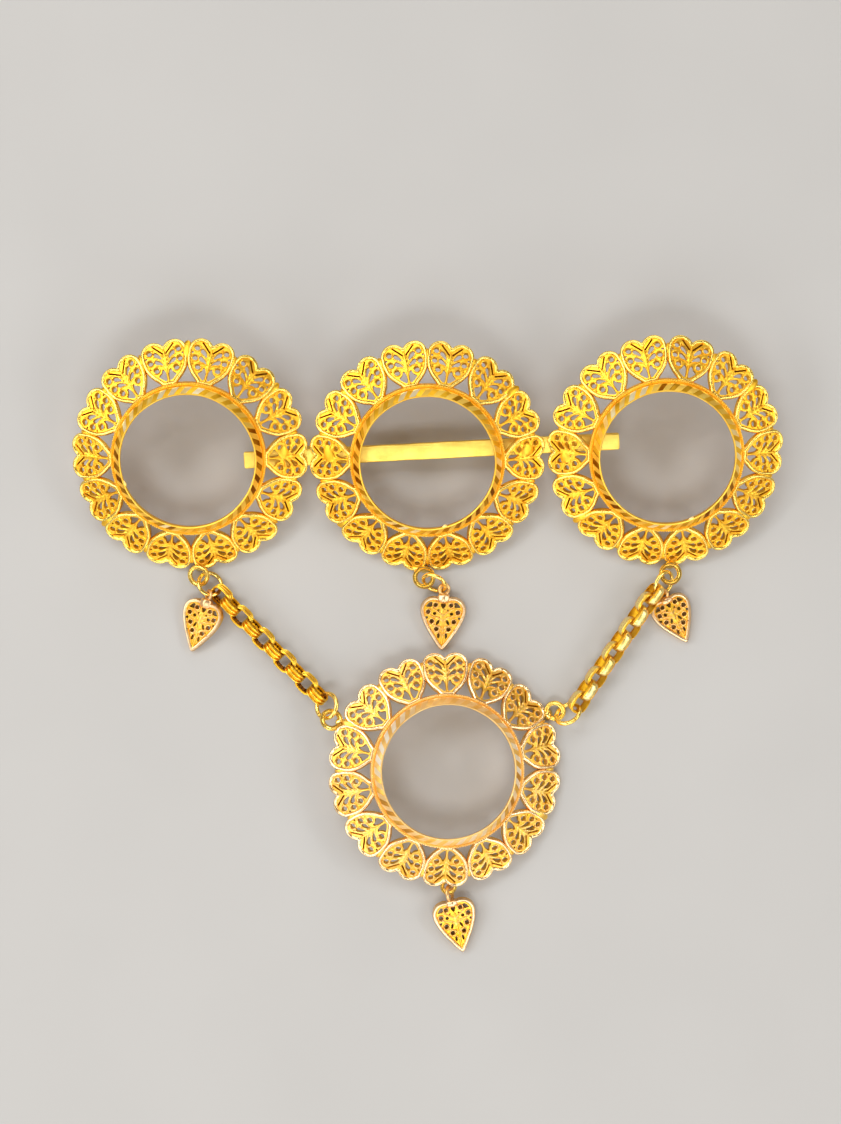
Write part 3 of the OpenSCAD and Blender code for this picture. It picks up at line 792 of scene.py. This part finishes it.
# ---------------------------------------------------------------- gold
def gold(name, shade_and_seam, field, edge, rough_field, rough_edge, grain=0.25, brushed=0.0, mottle=0.12, glint=None):
    mat = bpy.data.materials.new(name)
    mat.use_nodes = True
    nodes, links = mat.node_tree.nodes, mat.node_tree.links
    nodes.clear()

    def node(kind, **values):
        n = nodes.new(kind)
        for k, v in values.items():
            if hasattr(n, k):
                setattr(n, k, v)
            else:
                n.inputs[k.replace("_", " ")].default_value = v
        return n

    out = node("ShaderNodeOutputMaterial")
    shader = node("ShaderNodeBsdfPrincipled")
    shader.inputs["Metallic"].default_value = 1.0
    links.new(shader.outputs[0], out.inputs[0])
    place = node("ShaderNodeTexCoord")
    tone = node("ShaderNodeAttribute", attribute_name="tone")

    cloud = node("ShaderNodeTexNoise")
    cloud.inputs["Scale"].default_value = 420.0
    cloud.inputs["Detail"].default_value = 4.0
    links.new(place.outputs["Object"], cloud.inputs["Vector"])
    fine = node("ShaderNodeTexNoise")
    fine.inputs["Scale"].default_value = 5200.0
    fine.inputs["Detail"].default_value = 3.0
    links.new(place.outputs["Object"], fine.inputs["Vector"])

    # the tone wanders a little so that the polished edges with their painted highlight and the hollows with their
    # painted shade have soft, uneven limits
    lift = node("ShaderNodeMath", operation="MULTIPLY_ADD")
    links.new(cloud.outputs["Fac"], lift.inputs[0])
    lift.inputs[1].default_value = 0.36
    lift.inputs[2].default_value = -0.18
    total = node("ShaderNodeMath", operation="ADD", use_clamp=True)
    links.new(tone.outputs["Fac"], total.inputs[0])
    links.new(lift.outputs[0], total.inputs[1])
    # the ramp runs from painted shade at the low end, which darkens grooves, slots, pits and shaded facets and also
    # colours the dark butted seam of the wire rings, through the field and the polished edge colour to a painted glint
    # at the top
    ramp = node("ShaderNodeValToRGB")
    e = ramp.color_ramp.elements
    e[0].position, e[0].color = 0.08, (*shade_and_seam, 1)
    e[1].position, e[1].color = 0.42, (*field, 1)
    last = e.new(0.82)
    last.color = (*edge, 1)
    if glint:
        most = e.new(1.0)
        most.color = (*glint, 1)
    links.new(total.outputs[0], ramp.inputs[0])
    hue = node("ShaderNodeHueSaturation")
    swing = node("ShaderNodeMapRange")
    swing.inputs["To Min"].default_value = 1 - mottle
    swing.inputs["To Max"].default_value = 1 + mottle
    links.new(cloud.outputs["Fac"], swing.inputs["Value"])
    links.new(swing.outputs[0], hue.inputs["Value"])
    links.new(ramp.outputs[0], hue.inputs["Color"])
    links.new(hue.outputs[0], shader.inputs["Base Color"])

    rough = node("ShaderNodeMapRange")
    rough.inputs["From Min"].default_value = 0.45
    rough.inputs["From Max"].default_value = 0.9
    rough.inputs["To Min"].default_value = rough_field
    rough.inputs["To Max"].default_value = rough_edge
    links.new(tone.outputs["Fac"], rough.inputs["Value"])
    smudge = node("ShaderNodeMath", operation="MULTIPLY_ADD", use_clamp=True)
    links.new(fine.outputs["Fac"], smudge.inputs[0])
    smudge.inputs[1].default_value = 0.14
    links.new(rough.outputs[0], smudge.inputs[2])
    links.new(smudge.outputs[0], shader.inputs["Roughness"])

    # fine grain of cast and filed metal, and drawn lines along a bar
    bump = node("ShaderNodeBump")
    bump.inputs["Strength"].default_value = grain
    bump.inputs["Distance"].default_value = 0.00006
    links.new(fine.outputs["Fac"], bump.inputs["Height"])
    last_bump = bump
    if brushed:
        stretch = node("ShaderNodeMapping")
        stretch.inputs["Scale"].default_value = (260.0, 9000.0, 9000.0)
        links.new(place.outputs["Object"], stretch.inputs["Vector"])
        lines = node("ShaderNodeTexNoise")
        lines.inputs["Scale"].default_value = 1.0
        lines.inputs["Detail"].default_value = 3.0
        links.new(stretch.outputs[0], lines.inputs["Vector"])
        second = node("ShaderNodeBump")
        second.inputs["Strength"].default_value = brushed
        second.inputs["Distance"].default_value = 0.00005
        links.new(lines.outputs["Fac"], second.inputs["Height"])
        links.new(bump.outputs[0], second.inputs["Normal"])
        last_bump = second
    else:
        dents = node("ShaderNodeTexNoise")
        dents.inputs["Scale"].default_value = 1500.0
        dents.inputs["Detail"].default_value = 2.0
        links.new(place.outputs["Object"], dents.inputs["Vector"])
        second = node("ShaderNodeBump")
        second.inputs["Strength"].default_value = 0.22
        second.inputs["Distance"].default_value = 0.0001
        links.new(dents.outputs["Fac"], second.inputs["Height"])
        links.new(bump.outputs[0], second.inputs["Normal"])
        last_bump = second
    links.new(last_bump.outputs[0], shader.inputs["Normal"])
    return mat


YELLOW = gold("pierced_yellow_gold", (0.3, 0.09, 0.003), (1.0, 0.53, 0.024), (1.0, 0.66, 0.09), 0.36, 0.2, glint=(1.0, 0.72, 0.17))
ROSE = gold("pierced_rose_edged_gold", (0.34, 0.11, 0.005), (1.0, 0.6, 0.03), (1.0, 0.66, 0.27), 0.36, 0.18, glint=(1.0, 0.74, 0.42))
CUT = gold("diamond_cut_gold", (0.26, 0.075, 0.002), (1.0, 0.55, 0.03), (1.0, 0.7, 0.14), 0.36, 0.42, grain=0.1, glint=(1.0, 0.9, 0.62))
CUT_ROSE = gold("diamond_cut_rose_gold", (0.5, 0.18, 0.02), (1.0, 0.6, 0.12), (1.0, 0.74, 0.4), 0.36, 0.42, grain=0.1, glint=(1.0, 0.92, 0.78))
BAR = gold("brushed_pale_gold", (0.5, 0.3, 0.04), (0.9, 0.64, 0.09), (0.96, 0.71, 0.16), 0.36, 0.3, grain=0.5, brushed=0.6, mottle=0.3)
WIRE = gold("wire_pale_gold", (0.3, 0.12, 0.006), (1.0, 0.61, 0.065), (1.0, 0.76, 0.24), 0.2, 0.13, glint=(1.0, 0.88, 0.55))
CHAIN = gold("ribbed_chain_gold", (0.12, 0.03, 0.001), (1.0, 0.5, 0.015), (1.0, 0.7, 0.08), 0.36, 0.26)
# a lighter copy of the chain gold with a painted glint, so that the right chain's links carry painted highlight
CHAIN_LIT_COPY = gold("ribbed_chain_gold_lit_copy", (0.24, 0.06, 0.002), (1.0, 0.56, 0.025), (1.0, 0.72, 0.12), 0.34, 0.22, glint=(1.0, 0.8, 0.34))
DROP = gold("drop_rose_edged_gold", (0.34, 0.11, 0.005), (0.98, 0.56, 0.024), (0.8, 0.49, 0.2), 0.36, 0.26, glint=(0.92, 0.64, 0.36))

# ---------------------------------------------------------------- the four frames
EYELETS = [((-36.95, -19.5, 1.4), 20, -140), ((-0.54, -19.78, 1.75), 0, 0), ((39.2, -19.15, 1.85), 0, 0)]
FLOODED = [(1, 3, 8), (1, 8), (1, 8)]
SMEARS = [
    ((0, -0.9, -0.6, 1.1, 0.8),),
    ((7, 0.6, 0.2, 1.3, 1.0), (0, -1.3, 0.4, 1.2, 0.9)),
    ((7, -0.7, 0.5, 1.1, 0.8),),
]
# stretches of each bezel whose cuts are painted dark as painted shade, and those painted with a glint as painted
# highlight
PAINTED_SHADE_STRETCHES = [
    [(-5, 32, 1.0), (190, 25, 1.0), (243, 12, 0.6)],
    [(178, 26, 0.9), (-45, 34, 0.85), (60, 8, 0.6), (238, 8, 0.6)],
    [(185, 12, 0.9), (225, 16, 0.9), (-45, 24, 0.85), (88, 9, 0.8)],
    [(-20, 26, 0.6), (222, 28, 0.7), (250, 10, 0.6)],
]
PAINTED_GLINT_STRETCHES = [
    [(100, 12, 1.0), (80, 6, 0.8), (145, 8, 0.7), (248, 8, 0.9)],
    [(102, 8, 1.0), (250, 12, 1.0), (-5, 12, 0.6)],
    [(113, 8, 1.0), (262, 8, 1.0), (5, 20, 0.6), (140, 12, 0.6)],
    [(152, 26, 0.9), (8, 30, 0.8), (-42, 12, 0.6), (280, 20, 0.5)],
]
NAMES = ["left", "center", "right"]
for i, name in enumerate(NAMES):
    base = ROW @ shift(*ROW_AT[i])
    bag = hearts(base, 0, i + 1, FLOODED[i], SMEARS[i])
    build(bag, f"pierced_hearts_{name}", YELLOW, [f"frame_{name}"])
    tabs = [(200.0,), (285.0,), (292.0,)][i]
    build(bezel(base, i + 1, PAINTED_SHADE_STRETCHES[i], PAINTED_GLINT_STRETCHES[i], tabs=tabs), f"cut_bezel_{name}", CUT, sharp=9)
    p, tilt, lean = EYELETS[i]
    bag = Bag()
    eyelet(bag, p, tilt, lean, 1.46, 0.4)
    eyelet_solder(bag, p, 90, 1.46, 0.35, 0.75, i)
    build(bag, f"eyelet_{name}", WIRE)

bag = hearts(PENDANT, 90, 5, (2, 9))
build(bag, "pierced_hearts_pendant", ROSE, ["frame_pendant"])
build(bezel(PENDANT, 5, PAINTED_SHADE_STRETCHES[3], PAINTED_GLINT_STRETCHES[3], least=0.14), "cut_bezel_pendant", CUT_ROSE, sharp=9)
PENDANT_EYELETS = [
    ("pendant_left", (-15.43, -42.61, 3.8), 25, 59, 1.46, 0.42, -23, 3.6, 0.75),
    ("pendant_right", (20.64, -41.34, 1.03), 22, -128, 1.36, 0.4, 208, 0.35, 0.88),
    ("pendant_low", (3.41, -69.6, 2.2), 0, 0, 1.0, 0.34, 90, 1.9, 0.5),
]
for k, (name, p, tilt, lean, r, w, facing, foot, sw) in enumerate(PENDANT_EYELETS):
    bag = Bag()
    eyelet(bag, p, tilt, lean, r, w)
    eyelet_solder(bag, p, facing, r, foot, sw, 4 + k)
    build(bag, f"eyelet_{name}", WIRE)

# ---------------------------------------------------------------- bar and pin
on_bar = ROW @ shift(0.66, 0.5, 0) @ turn("Z", 3.0)
v, f = long_bar(60.3, 2.75, 0.88, 0.16, 90, waver=0.035)
build(Bag().add(v, f, on_bar @ shift(0, 0, -0.5), 0.7), "back_bar_brushed", BAR, ["back_bar"])
bag = Bag()
for x, depth in ((-20.5, 4.28), (20.5, 4.82)):
    h = depth - 1.0
    v, f = long_bar(h, 2.2, 2.8, 0.35, 8)
    bag.add(v, f, on_bar @ shift(x, 0, -depth + h / 2) @ turn("Y", 90), 0.6)
x = np.r_[np.linspace(0, 44, 45), np.linspace(44.3, 46.4, 8), 46.48]
r = np.r_[np.full(45, 0.44), np.linspace(0.4, 0.12, 8), 0.05]
p = np.stack([x - 20.5, 0 * x - 0.3, 0 * x - 3.2], 1)
side, up = np.tile([0.0, 1.0, 0.0], (len(x), 1)), np.tile([0.0, 0.0, 1.0], (len(x), 1))
v, f = tube((p, side, up), circle(1.0, 16)[None] * r[:, None, None], closed=False)
bag.add(v, f, on_bar, 0.75)
build(bag, "brooch_pin_wire", BAR, ["brooch_pin"])

# ---------------------------------------------------------------- rings, links and drops
JUMPS = [((-35.1, -20.85, 1.4), 31.5, 45, 2.2), ((1.12, -20.65, 2.0), 55, -116, 0.6), ((38.15, -20.7, 1.8), 48, -26, 4.4)]
for name, (p, tilt, lean, cut) in zip(NAMES, JUMPS):
    wire_ring(f"jump_wire_{name}", 1.92, 0.33, ring_at(p, tilt, lean), cut, WIRE, f"jump_ring_{name}")
for name, (p, tilt, lean, cut) in zip(("left", "right"), [((-16.2, -40.44, 2.86), 40, 165, 1.2), ((22.64, -41.74, 2.17), 51, 120, 3.4)]):
    wire_ring(f"chain_wire_{name}", 2.03, 0.36, ring_at(p, tilt, lean), cut, WIRE, f"chain_ring_{name}")
for c, name in enumerate(("left", "right")):
    shapes = [link_mesh(c, 0.93), link_mesh(c, 1.0)]
    for i in range(10):
        v, f, t = shapes[i > 0]
        bag = Bag().add(v, f, link_place(c, i), t)
        build(bag, f"belcher_{name}_{i + 1:02d}", CHAIN_LIT_COPY if c else CHAIN, [f"link_{name}_{i + 1:02d}"])
for i, name in enumerate(NAMES + ["pendant"]):
    drop(i, f"heart_drop_{name}", f"drop_{name}", DROP)

# ---------------------------------------------------------------- surface, light and camera
floor_mat = bpy.data.materials.new("pale_surface")
floor_mat.use_nodes = True
fn, fl = floor_mat.node_tree.nodes, floor_mat.node_tree.links
fs = fn["Principled BSDF"]
fs.inputs["Roughness"].default_value = 0.85
fs.inputs["Specular IOR Level"].default_value = 0.2
fc, fz, fr = fn.new("ShaderNodeTexCoord"), fn.new("ShaderNodeTexNoise"), fn.new("ShaderNodeValToRGB")
fz.inputs["Scale"].default_value = 30.0
fr.color_ramp.elements[0].color = (0.46, 0.455, 0.445, 1)
fr.color_ramp.elements[1].color = (0.5, 0.495, 0.485, 1)
fl.new(fc.outputs["Object"], fz.inputs["Vector"])
fl.new(fz.outputs["Fac"], fr.inputs[0])
fl.new(fr.outputs[0], fs.inputs["Base Color"])
mesh = bpy.data.meshes.new("surface")
mesh.from_pydata([(-3, -3, 0), (3, -3, 0), (3, 3, 0), (-3, 3, 0)], [], [(0, 1, 2, 3)])
mesh.materials.append(floor_mat)
surface = bpy.data.objects.new("surface", mesh)
bpy.context.scene.collection.objects.link(surface)


def softbox(name, at, aim, sx, sy, power, colour=(1, 1, 1)):
    light = bpy.data.lights.new(name, "AREA")
    light.shape = "RECTANGLE"
    light.size, light.size_y, light.energy, light.color = sx, sy, power, colour
    obj = bpy.data.objects.new(name, light)
    obj.location = at
    obj.rotation_mode = "QUATERNION"
    obj.rotation_quaternion = (Vector(aim) - Vector(at)).to_track_quat("-Z", "Y")
    obj.visible_camera = False
    bpy.context.scene.collection.objects.link(obj)
    return obj


def around(name, azimuth, off_zenith, distance, sx, sy, power, colour=(1, 1, 1)):
    """A softbox towards a compass direction, so far off straight above, facing the piece."""
    a, b = math.radians(azimuth), math.radians(off_zenith)
    at = (distance * math.sin(b) * math.cos(a), 0.01 + distance * math.sin(b) * math.sin(a), distance * math.cos(b))
    return softbox(name, at, (0, 0.01, 0), sx, sy, power, colour)


around("high_back_left", 118, 34, 0.72, 0.5, 0.34, 1.9)
around("high_front", 268, 30, 0.72, 0.4, 0.2, 1.5)
around("left", 176, 57, 0.72, 0.5, 0.3, 1.8)
around("right", 352, 57, 0.72, 0.44, 0.26, 1.3)
around("back", 80, 64, 0.76, 0.44, 0.24, 0.9)
around("front_left", 232, 60, 0.74, 0.4, 0.26, 1.2)
around("front_right", 306, 62, 0.74, 0.4, 0.22, 0.9)
around("low_front", 270, 80, 0.8, 0.9, 0.14, 1.3)
around("glint_left", 152, 44, 0.7, 0.05, 0.05, 0.3)
around("glint_right", 24, 48, 0.7, 0.05, 0.05, 0.25)

world = bpy.data.worlds.new("studio")
bpy.context.scene.world = world
world.use_nodes = True
world.node_tree.nodes["Background"].inputs[0].default_value = (0.36, 0.29, 0.21, 1)
world.node_tree.nodes["Background"].inputs[1].default_value = 0.5

cam = bpy.data.objects.new("camera", bpy.data.cameras.new("camera"))
cam.location = (-0.00111, 0.01352, 0.44)
cam.data.sensor_width = 36.0
cam.data.sensor_fit = "AUTO"
cam.data.lens = 36.0 * 440.0 / 182.09
cam.data.clip_start, cam.data.clip_end = 0.02, 20.0
bpy.context.scene.collection.objects.link(cam)
bpy.context.scene.camera = cam
bpy.context.scene.view_settings.view_transform = "Standard"
